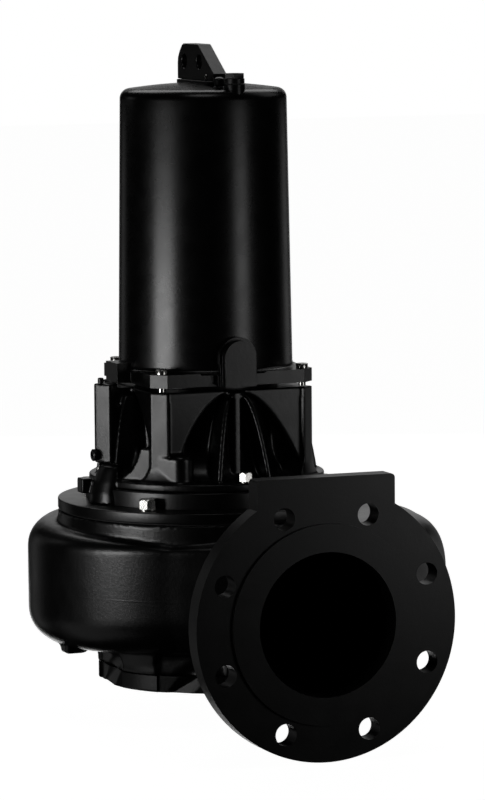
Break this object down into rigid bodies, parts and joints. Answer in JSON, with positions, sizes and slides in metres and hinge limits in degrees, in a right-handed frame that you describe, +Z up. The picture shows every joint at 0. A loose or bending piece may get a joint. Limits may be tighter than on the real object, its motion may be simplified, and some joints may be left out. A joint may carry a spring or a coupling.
{
  "type": "submersible sewage pump",
  "caption": "Submersible sewage pump in black painted iron: upright round motor, finned seal housing, spiral casing and a wide side flange whose claw hangs it on its base elbow.",
  "frame": {"origin": "on the discharge flange's raised face, 89 mm straight above the centre of its bore", "axes": "+Z up along the motor, -Y out of the discharge flange towards the pipework, +X to the right when one looks into the flange"},
  "size_m": [0.4429, 0.5674, 0.7255],
  "materials": {
    "black_paint": "satin black paint over sand-cast iron",
    "stainless_bolt": "bright stainless screws and bolts",
    "dark_plug": "black plug and cable gland",
    "gasket": "black flat gasket",
    "impeller_iron": "plain dark cast iron",
    "shaft_steel": "turned steel shaft"
  },
  "bodies": {
    "root": {"bearing_ring": "black_paint", "cable_gland": "dark_plug", "casing_gasket": "gasket", "column_pin": "dark_plug", "column_plug": "dark_plug", "corner_screw_1": "stainless_bolt", "corner_screw_2": "stainless_bolt", "corner_screw_3": "stainless_bolt", "corner_screw_4": "stainless_bolt", "cover_bolt_1": "stainless_bolt", "cover_bolt_2": "stainless_bolt", "cover_bolt_3": "stainless_bolt", "cover_bolt_4": "stainless_bolt", "cover_bolt_5": "stainless_bolt", "cover_bolt_6": "stainless_bolt", "cover_bolt_7": "stainless_bolt", "cover_plate": "black_paint", "discharge_flange": "black_paint", "gland_nut": "dark_plug", "housing_bolt_1": "stainless_bolt", "housing_bolt_2": "stainless_bolt", "housing_bolt_3": "stainless_bolt", "housing_bolt_4": "stainless_bolt", "impeller": "impeller_iron", "impeller_bolt": "stainless_bolt", "lifting_lug": "black_paint", "lug_bolt_front": "stainless_bolt", "lug_bolt_side": "stainless_bolt", "motor_housing": "black_paint", "motor_spigot": "black_paint", "pump_shaft": "shaft_steel", "seal_housing": "black_paint", "suction_cover": "black_paint", "volute_casing": "black_paint"}
  },
  "joints": []
}
